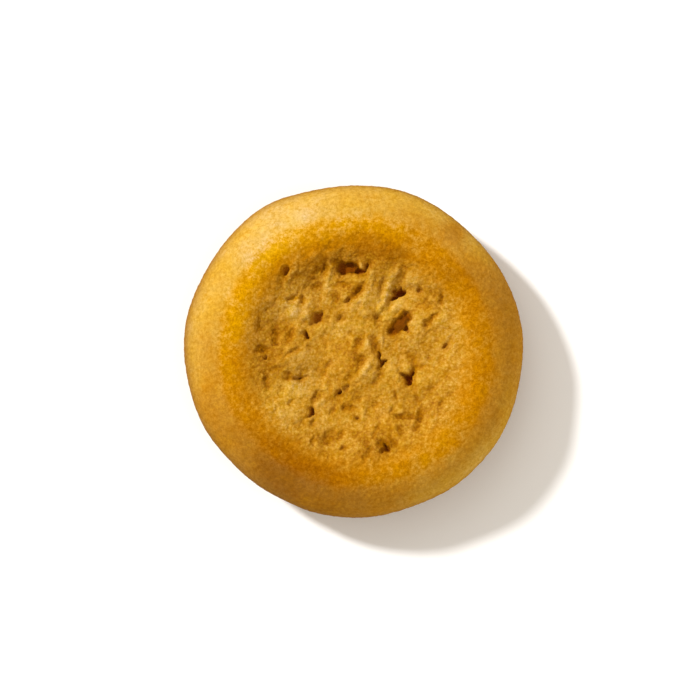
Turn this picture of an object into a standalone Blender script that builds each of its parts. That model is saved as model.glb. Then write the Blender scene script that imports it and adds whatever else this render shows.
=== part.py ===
"""A soft peanut butter cookie, modelled as one closed solid.

The cookie is thick and round. A smooth browned rim stands round a shallow dish of rough,
crumbly dough with open pits in it, and the underside is flat.

+Z is up and the origin is the middle of the flat underside. Lengths are in millimetres until
the mesh is made in metres, and the turns and directions of the tables are in degrees.
"""

from collections import namedtuple
from math import atan2, cos, exp, hypot, log, pi, radians, sin, tau

import bmesh
import bpy
from mathutils import Vector, noise

MM = 0.001

# Where the noise that makes lumps and marks uneven starts
NOISE_SEED = 1796071472

# Driving sizes of the cookie's section, from the middle outwards
RADIUS = 25.0
HEIGHT = 12.5
DISH_DEPTH = 1.9
DISH_FLOOR_RADIUS = 0.40 * RADIUS
CRUMB_RADIUS = 0.70 * RADIUS
CREST_RADIUS = 0.725 * RADIUS
WAIST_HEIGHT = 6.3
FOOT_RADIUS = 0.88 * RADIUS
SHOULDER_POWER = 1.85
HEEL_POWER = 1.9

# The outline seen from above: each wave has its count, its share of the radius and the
# direction of one of its peaks
OUTLINE_WAVES = ((2, 0.0123, -16), (5, 0.0031, -16), (6, 0.0059, 13), (7, 0.0036, 13))

# The dish sits a little off the middle, and its crumb reaches further up and down than across
DISH_SHIFT = Vector((0.4, -0.1, 0.0))
CRUMB_STRETCH = 0.05
CRUMB_RAGGED = 0.7
CRUMB_RAGGED_SIZE = 5.0

# How far inside the crumb's edge its rolls, bumps and pits reach their full height or depth
ROLL_FADE = 6.0
BUMP_FADE = 2.4
PIT_FADE = 0.9

# Relief: how high each kind of bump stands, and how wide it is
SWELL_HEIGHT = 0.30
SWELL_SIZE = 9.0
ROLL_HEIGHT = 1.2
ROLL_SIZE = 6.0
LUMP_HEIGHT = 0.36
LUMP_SIZE = 1.7
WARP_REACH = 0.35
WARP_SIZE = 1.6
GRAIN_TURN = radians(62)
GRAIN_STRETCH = 1.08
FLAT_FOOT = 2.0
SOFTNESS = 12.0
MIDDLE_LEVEL = 0.85
MARK_RAGGED = 0.28
MARK_RAGGED_SIZE = 0.6

# The mesh: rings of the top disc, and the bands that carry it round to the underside
TOP_RINGS = 34
SHOULDER_BANDS = 6
HEEL_BANDS = 4
FLAT_BAND = 1.0
NARROWEST_MARK = 1.0

# Baked dough: its colour in linear light, and how dull it is
DOUGH_COLOUR = (0.60, 0.27, 0.035, 1.0)
DOUGH_ROUGHNESS = 0.7

# A mark in the crumb: its middle, its length and width, the turn of its long side, and how deep
# it lies or how high it stands
Mark = namedtuple("Mark", "x y length width turn size")
PITS = (
    # The cave below the far rim, and the crack that runs on from it
    Mark(-1.7, 11.9, 1.8, 1.0, 85, 1.5),
    Mark(-0.6, 11.7, 1.8, 1.0, 0, 1.1),
    Mark(0.9, 11.7, 1.8, 0.8, 5, 1.5),
    Mark(1.9, 12.2, 1.3, 0.7, 45, 0.9),
    # The left half, from the far side to the near side
    Mark(-10.3, 11.9, 1.7, 1.1, 60, 1.1),
    Mark(-5.2, 4.8, 1.7, 1.2, 45, 1.1),
    Mark(-7.1, 2.2, 1.2, 0.7, -60, 1.5),
    Mark(-7.3, 3.1, 0.9, 0.6, 60, 0.5),
    Mark(-13.4, -1.0, 1.4, 0.8, 50, 0.5),
    Mark(-8.3, -3.9, 1.3, 0.5, 5, 0.7),
    Mark(-2.1, -6.1, 0.9, 0.8, 0, 1.1),
    Mark(-1.2, -5.4, 1.0, 0.5, 45, 0.5),
    Mark(-6.2, -9.0, 1.0, 0.7, 80, 1.2),
    Mark(-6.8, -9.7, 1.0, 0.6, 45, 0.6),
    # The middle
    Mark(-0.6, 7.2, 1.3, 0.6, 10, 0.8),
    Mark(4.0, -0.6, 1.6, 0.5, -75, 0.8),
    Mark(4.4, -1.7, 1.0, 0.8, 10, 1.4),
    Mark(0.6, -10.1, 0.8, 0.7, 0, 0.7),
    # The star, the long hollow and the horned pit of the right half
    Mark(6.9, 8.3, 1.5, 1.2, -10, 1.6),
    Mark(7.0, 9.0, 0.9, 0.6, 85, 1.2),
    Mark(6.4, 7.7, 1.1, 0.6, 40, 1.3),
    Mark(7.6, 8.6, 0.8, 0.6, 20, 1.1),
    Mark(8.0, 5.4, 1.7, 1.0, -65, 1.6),
    Mark(7.2, 4.1, 2.6, 1.7, 52, 1.4),
    Mark(6.6, 4.3, 3.6, 1.9, 52, 1.1),
    Mark(5.7, 3.1, 1.5, 1.2, 0, 1.4),
    Mark(7.7, 3.1, 1.2, 0.9, -10, 1.7),
    Mark(8.3, -4.3, 1.4, 0.9, -85, 1.6),
    Mark(7.5, -3.5, 1.1, 0.5, -40, 1.0),
    Mark(8.8, -3.4, 1.1, 0.6, 65, 1.0),
    # Smaller ones near the right and near rims
    Mark(9.9, 9.1, 0.9, 0.8, 0, 0.8),
    Mark(13.3, 0.6, 1.0, 0.8, 50, 0.6),
    Mark(4.6, -14.1, 1.5, 0.8, -60, 1.2),
)
DENTS = (
    # The left half, from the far side to the near side
    Mark(-10.6, 10.6, 1.8, 1.1, 85, 0.21),
    Mark(-7.6, 7.9, 0.8, 0.8, 90, 0.25),
    Mark(-9.4, 7.7, 1.9, 0.8, 18, 0.40),
    Mark(-4.6, 12.7, 1.9, 1.1, 60, 0.31),
    Mark(-5.6, 11.9, 1.7, 0.9, 20, 0.31),
    Mark(-5.6, 9.8, 1.0, 0.8, 45, 0.25),
    Mark(-3.6, 15.6, 1.1, 0.7, 55, 0.21),
    Mark(-2.6, 13.7, 1.4, 0.9, 10, 0.21),
    Mark(-2.7, 7.7, 1.8, 0.8, -75, 0.28),
    Mark(-1.9, 4.9, 1.4, 1.1, 15, 0.28),
    Mark(-9.4, 2.8, 1.4, 1.1, 60, 0.25),
    Mark(-13.9, 4.4, 2.7, 0.8, 88, 0.31),
    Mark(-12.0, 6.5, 1.6, 0.9, -30, 0.18),
    Mark(-12.6, 13.4, 1.7, 1.1, 30, 0.18),
    Mark(-13.8, 0.6, 1.4, 0.8, 10, 0.25),
    Mark(-13.1, -4.2, 2.0, 0.8, -80, 0.31),
    Mark(-12.2, -2.6, 1.8, 0.8, 20, 0.21),
    Mark(-14.6, -5.4, 2.3, 0.8, 80, 0.18),
    Mark(-9.8, -3.6, 1.1, 1.1, 0, 0.21),
    Mark(-9.2, 0.1, 1.7, 0.7, 35, 0.25),
    Mark(-2.2, -7.1, 1.1, 0.9, 90, 0.25),
    Mark(-5.0, -6.0, 1.1, 0.9, 10, 0.31),
    Mark(-5.8, -7.3, 1.4, 0.8, 70, 0.31),
    Mark(-6.4, -10.5, 1.2, 0.8, -10, 0.25),
    Mark(-1.5, -8.6, 1.1, 0.9, 30, 0.34),
    Mark(-0.4, -8.4, 1.3, 0.8, 0, 0.21),
    Mark(-4.1, -2.8, 2.0, 0.8, 65, 0.21),
    Mark(-4.0, -13.2, 1.6, 1.1, -20, 0.25),
    # The middle
    Mark(0.9, 6.8, 0.8, 0.8, 0, 0.21),
    Mark(0.4, 8.4, 2.4, 0.9, 45, 0.40),
    Mark(4.1, 10.2, 2.7, 0.8, 68, 0.25),
    Mark(5.2, 7.2, 2.3, 0.8, 68, 0.25),
    Mark(3.2, 4.7, 2.1, 0.9, -85, 0.28),
    Mark(7.3, 14.2, 1.9, 1.1, 85, 0.21),
    Mark(0.4, 1.3, 2.5, 0.8, 58, 0.34),
    Mark(0.6, -2.3, 1.7, 0.8, 65, 0.25),
    Mark(3.2, 1.0, 2.7, 0.8, -68, 0.31),
    Mark(3.8, -3.0, 1.7, 0.8, 80, 0.31),
    Mark(3.2, -4.5, 2.0, 0.8, 60, 0.21),
    Mark(0.5, -10.1, 0.7, 0.8, 0, 0.31),
    Mark(0.6, -7.1, 0.9, 0.8, -20, 0.21),
    # The right half
    Mark(7.1, 10.8, 2.3, 0.8, 82, 0.25),
    Mark(12.8, 8.0, 2.1, 0.8, 85, 0.31),
    Mark(11.4, 4.8, 3.9, 0.8, 53, 0.34),
    Mark(14.0, 1.3, 1.5, 0.8, 50, 0.21),
    Mark(8.6, -1.3, 1.7, 0.8, -60, 0.28),
    Mark(9.2, -2.4, 1.8, 0.8, 70, 0.40),
    Mark(8.1, -0.4, 1.1, 0.9, 60, 0.25),
    Mark(12.8, -1.4, 1.0, 0.8, -30, 0.18),
    Mark(9.4, -7.4, 1.1, 0.8, -70, 0.21),
    Mark(9.8, -9.9, 2.4, 0.9, 75, 0.36),
    Mark(9.4, -11.3, 1.1, 0.9, 40, 0.31),
    Mark(7.5, -9.9, 1.6, 0.8, 0, 0.18),
    Mark(5.8, -13.5, 1.4, 0.9, -10, 0.31),
    Mark(14.5, -6.4, 1.1, 0.8, 20, 0.18),
)
RIDGES = (
    # The left half, from the far side to the near side
    Mark(-3.9, 10.0, 5.0, 0.9, 82, 0.27),
    Mark(-9.3, 11.5, 3.2, 0.8, 68, 0.22),
    Mark(-8.8, 6.2, 2.6, 1.1, 62, 0.22),
    Mark(-6.9, 7.0, 1.8, 0.9, 80, 0.22),
    Mark(-7.1, 5.3, 2.2, 0.8, 55, 0.15),
    Mark(-8.7, 2.5, 2.2, 0.6, 72, 0.20),
    Mark(-4.4, 3.5, 2.6, 1.8, 20, 0.20),
    Mark(-6.0, 14.0, 2.0, 0.8, 40, 0.15),
    Mark(-8.2, -1.0, 3.0, 2.4, 30, 0.20),
    Mark(-8.6, -5.6, 4.0, 2.6, 0, 0.20),
    Mark(-4.5, -6.1, 3.6, 0.8, 80, 0.22),
    Mark(-6.4, -4.8, 1.5, 0.7, 80, 0.15),
    Mark(-12.0, -8.5, 2.6, 0.8, 45, 0.15),
    Mark(-3.0, -0.9, 2.4, 1.0, 20, 0.15),
    Mark(-1.6, -13.2, 1.6, 0.8, 35, 0.20),
    # The middle
    Mark(-0.5, 14.2, 1.6, 1.1, 60, 0.22),
    Mark(-0.7, 10.8, 2.8, 0.8, 0, 0.27),
    Mark(1.0, 12.7, 0.9, 0.6, 90, 0.32),
    Mark(2.6, 11.0, 3.0, 0.8, 78, 0.22),
    Mark(1.5, 7.8, 2.6, 1.4, 45, 0.27),
    Mark(3.7, 6.1, 1.2, 0.6, 75, 0.20),
    Mark(-0.6, -6.5, 1.4, 0.9, 75, 0.15),
    Mark(1.6, 0.9, 2.0, 1.0, 60, 0.22),
    Mark(1.9, -2.3, 3.2, 0.9, 55, 0.27),
    Mark(1.4, -9.0, 2.6, 0.7, 85, 0.20),
    # The right half
    Mark(5.4, 10.3, 3.4, 0.9, 65, 0.32),
    Mark(4.6, 7.6, 2.2, 0.7, 82, 0.22),
    Mark(8.4, 10.4, 1.8, 1.0, -60, 0.20),
    Mark(8.5, 7.9, 1.9, 1.0, -15, 0.22),
    Mark(6.4, 6.8, 2.3, 1.0, 52, 0.32),
    Mark(4.9, 5.0, 1.6, 1.0, -30, 0.22),
    Mark(8.9, 4.2, 2.1, 0.8, 25, 0.22),
    Mark(11.8, 9.7, 0.9, 0.8, 0, 0.20),
    Mark(13.7, 6.6, 2.0, 0.7, 25, 0.20),
    Mark(12.2, 4.6, 1.6, 0.8, 60, 0.15),
    Mark(4.2, 1.6, 2.6, 0.6, 85, 0.20),
    Mark(5.6, -2.6, 2.2, 1.2, 85, 0.22),
    Mark(6.5, 0.9, 1.8, 0.5, 80, 0.15),
    Mark(7.7, -2.6, 1.1, 1.0, 0, 0.27),
    Mark(9.7, -4.6, 3.4, 0.9, 85, 0.27),
    Mark(6.6, -4.7, 2.6, 0.8, 85, 0.15),
    Mark(11.4, -10.9, 3.6, 0.9, 78, 0.22),
    Mark(6.7, -8.4, 1.8, 0.7, 65, 0.15),
    Mark(13.6, -8.6, 0.9, 0.9, 0, 0.15),
)

# How a mark falls off: where its side starts and how wide the side is, in half sizes of the mark
PIT_SIDE = (1.50, 1.10)
DENT_SIDE = (1.70, 1.50)

# A shallow funnel round each pit, with its depth as a share of the pit's
FUNNEL_SIDE = (3.20, 2.40)
FUNNEL_DEPTH = 0.22


def ease(share):
    """Goes from 0 to 1 with no slope at either end."""
    share = min(max(share, 0.0), 1.0)
    return share * share * (3 - 2 * share)


def waves(angle, table):
    """The sum of waves round the cookie, in one direction."""
    return sum(share * cos(count * (angle - radians(peak))) for count, share, peak in table)


def outline(angle):
    """The outline's share of the mean radius in one direction."""
    return 1 + waves(angle, OUTLINE_WAVES)


def crumb_edge(angle):
    """The distance from the dish's middle at which the crumb meets the smooth rim."""
    around = Vector((cos(angle), sin(angle), 0)) * (CRUMB_RADIUS / CRUMB_RAGGED_SIZE)
    ragged = CRUMB_RAGGED * noise.noise(around)
    return CRUMB_RADIUS * (1 - CRUMB_STRETCH * cos(2 * angle)) + ragged


def dish_height(radius):
    """The height of the dish: a level floor that climbs to the crest of the rim."""
    climb = (radius - DISH_FLOOR_RADIUS) / (CREST_RADIUS - DISH_FLOOR_RADIUS)
    return HEIGHT - DISH_DEPTH * (1 - ease(climb))


def rounded(turn, power):
    """A point of a rounded corner of size 1 by 1, from (0, 1) at turn 0 to (1, 0) at turn 1."""
    angle = turn * pi / 2
    return sin(angle) ** (2 / power), cos(angle) ** (2 / power)


def shoulder(turn):
    """Radius and height from the crest, at turn 0, out to the waist, at turn 1."""
    out, up = rounded(turn, SHOULDER_POWER)
    radius = CREST_RADIUS + (RADIUS - CREST_RADIUS) * out
    return radius, WAIST_HEIGHT + (HEIGHT - WAIST_HEIGHT) * up


def heel(turn):
    """Radius and height from the waist, at turn 0, under to the foot, at turn 1."""
    down, out = rounded(turn, HEEL_POWER)
    return FOOT_RADIUS + (RADIUS - FOOT_RADIUS) * out, WAIST_HEIGHT * (1 - down)


def place(radius, height, angle):
    """The point at a radius and height of the section, in one direction from the middle."""
    spread = radius * outline(angle)
    fade = min(1.0, (RADIUS - radius) / (RADIUS - CREST_RADIUS))
    shift = DISH_SHIFT * (fade * ease(height / WAIST_HEIGHT - 1))
    return Vector((spread * cos(angle), spread * sin(angle), height)) + shift


def lumps(point, size):
    """Rounded lumps with soft creases between them: about 1 on a lump's top, 0 in a crease."""
    distances, _ = noise.voronoi(point / size)
    felt = sum(exp(-SOFTNESS * distance ** 2) for distance in distances)
    return 1 + log(felt) / SOFTNESS


def marked(point, marks, side):
    """How strongly the marks of one table are felt at a place on the top."""
    start, width = side
    strongest = 0.0
    for mark in marks:
        away_x = point.x - mark.x
        away_y = point.y - mark.y
        if max(abs(away_x), abs(away_y)) > start * mark.length / 2:
            continue
        turn = radians(mark.turn)
        along = away_x * cos(turn) + away_y * sin(turn)
        across = away_y * cos(turn) - away_x * sin(turn)
        reach = hypot(along / mark.length, across / mark.width) * 2
        strongest = max(strongest, mark.size * ease((start - reach) / width))
    return strongest


def grained(point):
    """The place moved so that lumps come out uneven, and longer along the crumb's grain."""
    warped = point + noise.noise_vector(point / WARP_SIZE) * WARP_REACH
    along = warped.x * cos(GRAIN_TURN) + warped.y * sin(GRAIN_TURN)
    across = warped.y * cos(GRAIN_TURN) - warped.x * sin(GRAIN_TURN)
    return Vector((along / GRAIN_STRETCH, across, warped.z))


def ragged(point):
    """The place on the top moved a little, so that marks come out uneven."""
    flat = Vector((point.x, point.y, 0))
    return flat + noise.noise_vector(flat / MARK_RAGGED_SIZE) * MARK_RAGGED


def settled(marks):
    """The marks moved as raggedness moves their middles, so that they stay in their places."""
    middles = [ragged(Vector((mark.x, mark.y, 0))) for mark in marks]
    return [mark._replace(x=middle.x, y=middle.y) for mark, middle in zip(marks, middles)]


def widened(marks):
    """The marks with none narrower than the mesh can hold."""
    return [
        mark._replace(
            length=max(mark.length, NARROWEST_MARK), width=max(mark.width, NARROWEST_MARK)
        )
        for mark in marks
    ]


noise.seed_set(NOISE_SEED)
PITS = widened(settled(PITS))
DENTS = widened(settled(DENTS))
RIDGES = widened(settled(RIDGES))


def crumb_relief(point):
    """The rough dough above the smooth dish: its wide rolls, its bumps and its pits."""
    loose = grained(point)
    rolls = ROLL_HEIGHT * noise.noise(loose / ROLL_SIZE)
    bumps = LUMP_HEIGHT * (lumps(loose, LUMP_SIZE) - MIDDLE_LEVEL)
    moved = ragged(point)
    bumps += marked(moved, RIDGES, DENT_SIDE) - marked(moved, DENTS, DENT_SIDE)
    bumps -= FUNNEL_DEPTH * marked(moved, PITS, FUNNEL_SIDE)
    return rolls, bumps, marked(moved, PITS, PIT_SIDE)


def inside_crumb(point):
    """How far a place lies inside the crumb's edge, and 0 or less outside it."""
    if point.z < WAIST_HEIGHT:
        return 0.0
    from_dish = point - DISH_SHIFT
    edge = crumb_edge(atan2(from_dish.y, from_dish.x))
    return edge - hypot(from_dish.x, from_dish.y)


def relief(point):
    """How far the surface stands out from the smooth section, along its normal."""
    stand = SWELL_HEIGHT * noise.noise(point / SWELL_SIZE) * ease(point.z / FLAT_FOOT)
    inside = inside_crumb(point)
    if inside <= 0:
        return stand
    rolls, bumps, pit = crumb_relief(point)
    stand += rolls * ease(inside / ROLL_FADE) + bumps * ease(inside / BUMP_FADE)
    return stand - pit * ease(inside / PIT_FADE)


def ring_angles(count):
    """Evenly spaced directions, all the way round."""
    return [tau * step / count for step in range(count)]


def add_top_disc(bm):
    """The dish out to the crest, as rings of 6, 12, 18 and so on points."""
    inner = [bm.verts.new(place(0, dish_height(0), 0))]
    for ring in range(1, TOP_RINGS + 1):
        radius = CREST_RADIUS * ring / TOP_RINGS
        height = dish_height(radius)
        outer = [bm.verts.new(place(radius, height, angle)) for angle in ring_angles(6 * ring)]
        join_growing_rings(bm, inner, outer, ring)
        inner = outer
    return inner


def join_growing_rings(bm, inner, outer, ring):
    """Fills between two rings of triangles whose outer one has six points more."""
    for sector in range(6):
        for step in range(ring):
            here = outer[sector * ring + step]
            after = outer[(sector * ring + step + 1) % len(outer)]
            near = inner[(sector * (ring - 1) + step) % len(inner)]
            bm.faces.new((near, here, after))
            if step < ring - 1:
                beyond = inner[(sector * (ring - 1) + step + 1) % len(inner)]
                bm.faces.new((near, after, beyond))


def add_bands(bm, start, section):
    """Bands of quads from one ring of points on through each radius and height of a section."""
    inner = start
    angles = ring_angles(len(start))
    for radius, height in section:
        outer = [bm.verts.new(place(radius, height, angle)) for angle in angles]
        for step, vert in enumerate(inner):
            after = (step + 1) % len(inner)
            bm.faces.new((vert, outer[step], outer[after], inner[after]))
        inner = outer
    return inner


def side_section():
    """Radii and heights from the crest over the waist to the flat underside."""
    section = [shoulder((band + 1) / SHOULDER_BANDS) for band in range(SHOULDER_BANDS)]
    section += [heel((band + 1) / HEEL_BANDS) for band in range(HEEL_BANDS)]
    section.append((FOOT_RADIUS - FLAT_BAND, 0))
    return section


def centre_on_origin(bm):
    """Moves the cookie sideways so that its outline's box is centred on the origin."""
    for axis in range(2):
        places = [vert.co[axis] for vert in bm.verts]
        middle = (min(places) + max(places)) / 2
        for vert in bm.verts:
            vert.co[axis] -= middle


def make_cookie():
    """The cookie: smooth section first, then its relief along the surface's normals."""
    bm = bmesh.new()
    crest = add_top_disc(bm)
    inside_foot = add_bands(bm, crest, side_section())
    bm.faces.new(reversed(inside_foot))
    bm.normal_update()
    raised = [(vert, vert.normal * relief(vert.co)) for vert in bm.verts if vert.co.z > 0]
    for vert, offset in raised:
        vert.co += offset
    centre_on_origin(bm)
    bmesh.ops.scale(bm, vec=(MM, MM, MM), verts=bm.verts)
    bmesh.ops.triangulate(bm, faces=bm.faces)
    mesh = bpy.data.meshes.new("cookie")
    bm.to_mesh(mesh)
    bm.free()
    mesh.shade_smooth()
    mesh.set_sharp_from_angle(angle=radians(75))
    cookie = bpy.data.objects.new("cookie", mesh)
    bpy.context.scene.collection.objects.link(cookie)
    return cookie


def baked_dough():
    """Golden baked dough, dull and without shine."""
    material = bpy.data.materials.new("baked_dough")
    material.use_nodes = True
    shader = material.node_tree.nodes["Principled BSDF"]
    shader.inputs["Base Color"].default_value = DOUGH_COLOUR
    shader.inputs["Roughness"].default_value = DOUGH_ROUGHNESS
    shader.inputs["Metallic"].default_value = 0.0
    return material


def main():
    for obj in list(bpy.data.objects):
        bpy.data.objects.remove(obj)
    cookie = make_cookie()
    cookie.data.materials.append(baked_dough())


main()
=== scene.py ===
"""The look of the peanut butter cookie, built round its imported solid.

A fine mesh of the same form stands for the solid: a puffed, sandy rim round a dish of rough
crumb with open pits, and a flat baked underside. Its material is worked out by nodes from the
masks that the mesh carries.

Lengths are in millimetres until the mesh is made, in metres. Angles are in degrees in tables, and
in radians everywhere else.
"""

from collections import namedtuple
from math import atan2, cos, exp, hypot, log, pi, radians, sin, tau

import bpy
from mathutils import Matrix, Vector, noise


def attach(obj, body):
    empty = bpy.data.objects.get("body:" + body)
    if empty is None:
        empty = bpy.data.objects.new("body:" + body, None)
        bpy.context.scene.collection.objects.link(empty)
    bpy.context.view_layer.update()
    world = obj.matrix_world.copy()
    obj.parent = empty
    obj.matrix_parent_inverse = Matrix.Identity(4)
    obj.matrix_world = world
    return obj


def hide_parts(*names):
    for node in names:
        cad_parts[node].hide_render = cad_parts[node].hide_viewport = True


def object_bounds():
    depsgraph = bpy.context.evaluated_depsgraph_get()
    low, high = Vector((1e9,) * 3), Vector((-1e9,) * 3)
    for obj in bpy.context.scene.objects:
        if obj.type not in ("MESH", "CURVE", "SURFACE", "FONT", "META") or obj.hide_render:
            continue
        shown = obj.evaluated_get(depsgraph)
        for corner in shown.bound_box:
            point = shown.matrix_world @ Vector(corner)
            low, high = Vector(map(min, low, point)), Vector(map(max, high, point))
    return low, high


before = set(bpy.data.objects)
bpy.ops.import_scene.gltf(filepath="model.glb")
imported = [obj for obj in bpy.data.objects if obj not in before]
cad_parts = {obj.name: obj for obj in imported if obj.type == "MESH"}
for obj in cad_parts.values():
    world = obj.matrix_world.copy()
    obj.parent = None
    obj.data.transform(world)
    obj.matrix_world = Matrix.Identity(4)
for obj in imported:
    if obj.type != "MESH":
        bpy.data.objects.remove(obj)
cad_low, cad_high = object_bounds()

MM = 0.001

# Where the noise that makes lumps and marks uneven starts
NOISE_SEED = 4

# The solid's section, from the middle outwards
RADIUS = 25.0
HEIGHT = 12.5
DISH_DEPTH = 1.9
DISH_FLOOR_RADIUS = 0.40 * RADIUS
CRUMB_RADIUS = 0.70 * RADIUS
CREST_RADIUS = 0.725 * RADIUS
WAIST_HEIGHT = 6.3
FOOT_RADIUS = 0.88 * RADIUS
SHOULDER_POWER = 1.85
HEEL_POWER = 1.9

# The outline seen from above: each wave has its count, its share of the radius and the
# direction of one of its peaks
OUTLINE_WAVES = ((2, 0.0123, -16), (5, 0.0031, -16), (6, 0.0059, 13), (7, 0.0036, 13))

# The dish sits a little off the middle, and its crumb reaches further up and down than across
DISH_SHIFT = Vector((0.4, -0.1, 0.0))
CRUMB_STRETCH = 0.05
CRUMB_RAGGED = 0.7
CRUMB_RAGGED_SIZE = 5.0

# How far inside the crumb's edge its rolls, bumps and pits reach their full height or depth
ROLL_FADE = 6.0
BUMP_FADE = 2.4
PIT_FADE = 0.9

# Relief: how high each kind of bump stands, and how wide it is
SWELL_HEIGHT = 0.30
SWELL_SIZE = 9.0
ROLL_HEIGHT = 1.2
ROLL_SIZE = 6.0
LUMP_HEIGHT = 0.28
LUMP_SIZE = 1.7
KNOB_HEIGHT = 0.13
KNOB_SIZE = 0.85

# How far lumps are pushed out of shape and how finely, and how the crumb's grain draws them out
WARP_REACH = 0.35
WARP_SIZE = 1.6
GRAIN_TURN = radians(62)
GRAIN_STRETCH = 1.08

# How sharp the creases between lumps are, and the level of a lump at which the dough stays as it is
SOFTNESS = 12.0
MIDDLE_LEVEL = 0.85

# How far the edges of marks are pushed out of shape, and how finely
MARK_RAGGED = 0.28
MARK_RAGGED_SIZE = 0.7

# The height at which relief has grown from nothing, at the foot, to its full height
FLAT_FOOT = 2.0

# Finer relief, of the crumb and of the sandy crust
NUB_HEIGHT = 0.11
NUB_SIZE = 0.40
SAND_HEIGHT = 0.06
SAND_SIZE = 0.7
FINE_SAND_SHARE = 0.6
FINE_SAND_SIZE = 0.5 * SAND_SIZE

# The mesh: rings of the top disc, and the bands that carry it round to the underside
TOP_RINGS = 126
SHOULDER_BANDS = 36
HEEL_BANDS = 14
UNDERSIDE_RINGS = TOP_RINGS // 2

# The disc of the underside, which ends a little inside the foot
UNDERSIDE_RADIUS = FOOT_RADIUS - 0.5

# A mark in the crumb: its middle, its length and width, the turn of its long side, and how deep
# it lies or how high it stands
Mark = namedtuple("Mark", "x y length width turn size")
PITS = (
    # The cave below the far rim, and the crack that runs on from it
    Mark(-1.8, 12.0, 1.9, 1.25, 88, 1.3),
    Mark(-0.8, 12.15, 2.0, 1.1, 0, 1.0),
    Mark(0.75, 11.8, 1.7, 0.6, 5, 1.1),
    Mark(1.85, 12.4, 0.9, 0.5, 60, 0.8),
    # The left half, from the far side to the near side
    Mark(-10.25, 11.9, 1.4, 0.9, 60, 0.8),
    Mark(-5.35, 4.8, 1.9, 1.3, 48, 1.0),
    Mark(-6.0, 4.2, 1.2, 0.9, 50, 0.5),
    Mark(-7.1, 2.3, 1.3, 0.5, -68, 1.1),
    Mark(-7.5, 2.6, 0.9, 0.8, 0, 0.4),
    Mark(-13.05, -1.1, 0.8, 0.5, 50, 0.55),
    Mark(-8.4, -4.0, 1.3, 0.4, 3, 0.6),
    Mark(-2.1, -6.1, 0.8, 0.7, 0, 0.9),
    Mark(-1.1, -5.5, 1.1, 0.9, 30, 0.5),
    Mark(-6.15, -9.0, 1.0, 0.55, -85, 1.0),
    Mark(-6.5, -9.5, 0.9, 0.4, 50, 0.7),
    # The middle
    Mark(-1.0, 7.4, 1.2, 0.5, 15, 0.50),
    Mark(0.6, 8.8, 1.6, 0.35, 48, 0.37),
    Mark(-2.0, 4.9, 1.0, 0.7, 20, 0.36),
    Mark(3.3, 5.0, 0.9, 0.6, -75, 0.36),
    Mark(3.75, -0.9, 1.7, 0.4, -80, 1.0),
    Mark(4.15, -1.7, 0.9, 0.6, 60, 1.1),
    Mark(4.45, -1.5, 0.9, 0.4, 10, 0.9),
    Mark(0.5, -10.0, 0.6, 0.45, 0, 0.5),
    # The star, the long hollow and the horned pit of the right half
    Mark(6.55, 8.5, 1.7, 1.1, -5, 1.6),
    Mark(6.75, 8.75, 0.9, 0.5, 85, 1.4),
    Mark(5.85, 8.8, 0.6, 0.5, 0, 1.0),
    Mark(6.2, 8.05, 1.5, 0.8, 38, 1.4),
    Mark(7.15, 8.35, 0.6, 0.7, 0, 1.2),
    Mark(7.75, 5.4, 1.4, 0.8, -65, 0.8),
    Mark(6.95, 4.5, 2.6, 1.2, 40, 0.70),
    Mark(6.6, 3.9, 2.9, 1.5, 45, 0.55),
    Mark(5.65, 2.95, 1.5, 1.2, 30, 0.75),
    Mark(7.75, 3.15, 1.1, 0.6, -50, 0.85),
    Mark(8.25, -4.3, 1.5, 0.85, -78, 1.6),
    Mark(8.0, -4.0, 1.1, 0.8, -20, 1.3),
    Mark(7.35, -3.55, 1.1, 0.40, -36, 0.9),
    Mark(8.6, -3.5, 0.9, 0.5, 65, 1.1),
    # Smaller ones near the right and near rims
    Mark(9.75, 8.85, 0.9, 0.8, 0, 0.6),
    Mark(13.4, 0.7, 0.9, 0.7, 50, 0.5),
    Mark(4.7, -14.2, 1.3, 0.6, -65, 0.9),
    Mark(4.4, -14.6, 1.2, 0.7, 35, 0.55),
)
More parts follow.
